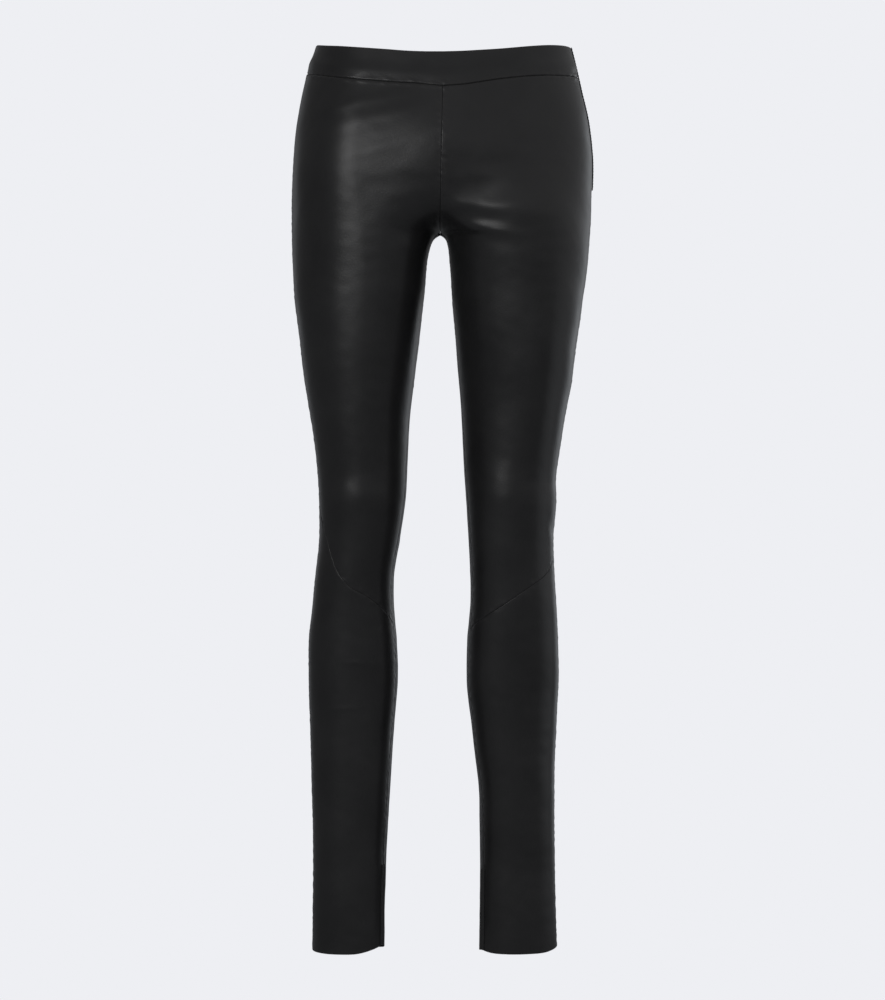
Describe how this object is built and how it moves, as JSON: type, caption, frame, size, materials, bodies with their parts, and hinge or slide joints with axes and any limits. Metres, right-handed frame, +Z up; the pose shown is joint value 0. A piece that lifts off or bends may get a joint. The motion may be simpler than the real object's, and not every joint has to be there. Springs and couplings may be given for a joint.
{
  "type": "leather leggings",
  "caption": "Slim black leather leggings, filled out as if worn, with a plain waistband, diagonal knee seams, a concealed side zip and concealed ankle zips.",
  "frame": {"origin": "middle of the waist opening, level with the band's top edge at the sides, where the wearer holds the garment up", "axes": "+Z up along the legs towards the waist, +X to the wearer's left, -Y to the front"},
  "size_m": [0.3323, 0.2312, 0.9937],
  "materials": {
    "leather": "smooth black nappa with a fine grain and a soft sheen",
    "band_leather": "the same nappa, doubled, with a turned top edge",
    "zip_tape": "matt black tape and leather lips over a concealed zip"
  },
  "bodies": {
    "root": {"waistband_front": "band_leather", "waistband_back": "band_leather", "front_thigh_right": "leather", "front_thigh_left": "leather", "front_shin_right": "leather", "front_shin_left": "leather", "back_leg_right": "leather", "back_leg_left": "leather", "side_zip": "zip_tape", "ankle_zip_right": "zip_tape", "ankle_zip_left": "zip_tape"}
  },
  "joints": []
}
